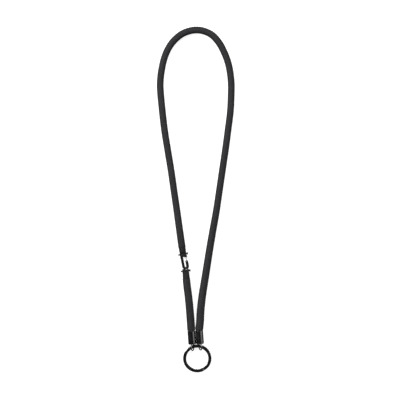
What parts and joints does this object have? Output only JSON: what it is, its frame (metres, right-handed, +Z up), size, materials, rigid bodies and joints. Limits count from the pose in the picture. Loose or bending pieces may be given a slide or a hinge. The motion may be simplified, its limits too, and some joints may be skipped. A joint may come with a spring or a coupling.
{
  "type": "neck lanyard",
  "caption": "Round braided neck lanyard with a small spring-gate hook in one side and a split ring held by swivel eyes in tube ferrules.",
  "frame": {"origin": "on the table, under the middle of the metal pieces, from the split ring to the hook, to within half a millimetre", "axes": "+X to the right seen from above, +Y along the loop from the ring towards the top of the neck loop, +Z up out of the table that the lanyard lies on"},
  "size_m": [0.0901, 0.3997, 0.0089],
  "materials": {
    "braid": "matte woven black polyester",
    "thread": "black polyester thread",
    "black_metal": "glossy black plating",
    "bright_steel": "bright polished"
  },
  "bodies": {
    "strap": {"long_cord": "braid", "short_cord": "braid", "long_cord_end_loop": "braid", "short_cord_end_loop": "braid", "long_cord_stitching": "thread", "short_cord_stitching": "thread", "left_ferrule": "black_metal", "right_ferrule": "black_metal", "left_swivel_washer": "bright_steel", "right_swivel_washer": "bright_steel", "hook_frame": "black_metal", "gate_pin": "bright_steel", "gate_spring": "bright_steel", "eye_bar": "black_metal"},
    "gate": {"hook_gate": "bright_steel"},
    "left_eye": {"left_swivel_eye": "black_metal"},
    "right_eye": {"right_swivel_eye": "black_metal"},
    "ring": {"split_ring": "black_metal"}
  },
  "joints": [
    {"name": "gate_hinge", "type": "hinge", "parent": "strap", "child": "gate", "pos_m": [-0.00915, 0.05892, 0.0041], "axis": [0, 0, 1], "range_deg": [0, 30], "stiffness_Nm_per_rad": 0.002, "springref_deg": -11.46, "deforming": ["gate_spring"]},
    {"name": "ring_swing", "type": "hinge", "parent": "strap", "child": "ring", "pos_m": [0.00202, -0.03948, 0.00445], "axis": [-0.9975, -0.0712, 0], "range_deg": [-35, 90]},
    {"name": "left_eye_swivel", "type": "hinge", "parent": "strap", "child": "left_eye", "pos_m": [-0.00272, -0.03675, 0.00445], "axis": [0.0732, -0.9973, 0], "range_deg": [-40, 0]},
    {"name": "right_eye_swivel", "type": "hinge", "parent": "strap", "child": "right_eye", "pos_m": [0.00628, -0.0362, 0.00445], "axis": [0.0698, -0.9976, 0], "range_deg": [0, 43]}
  ]
}
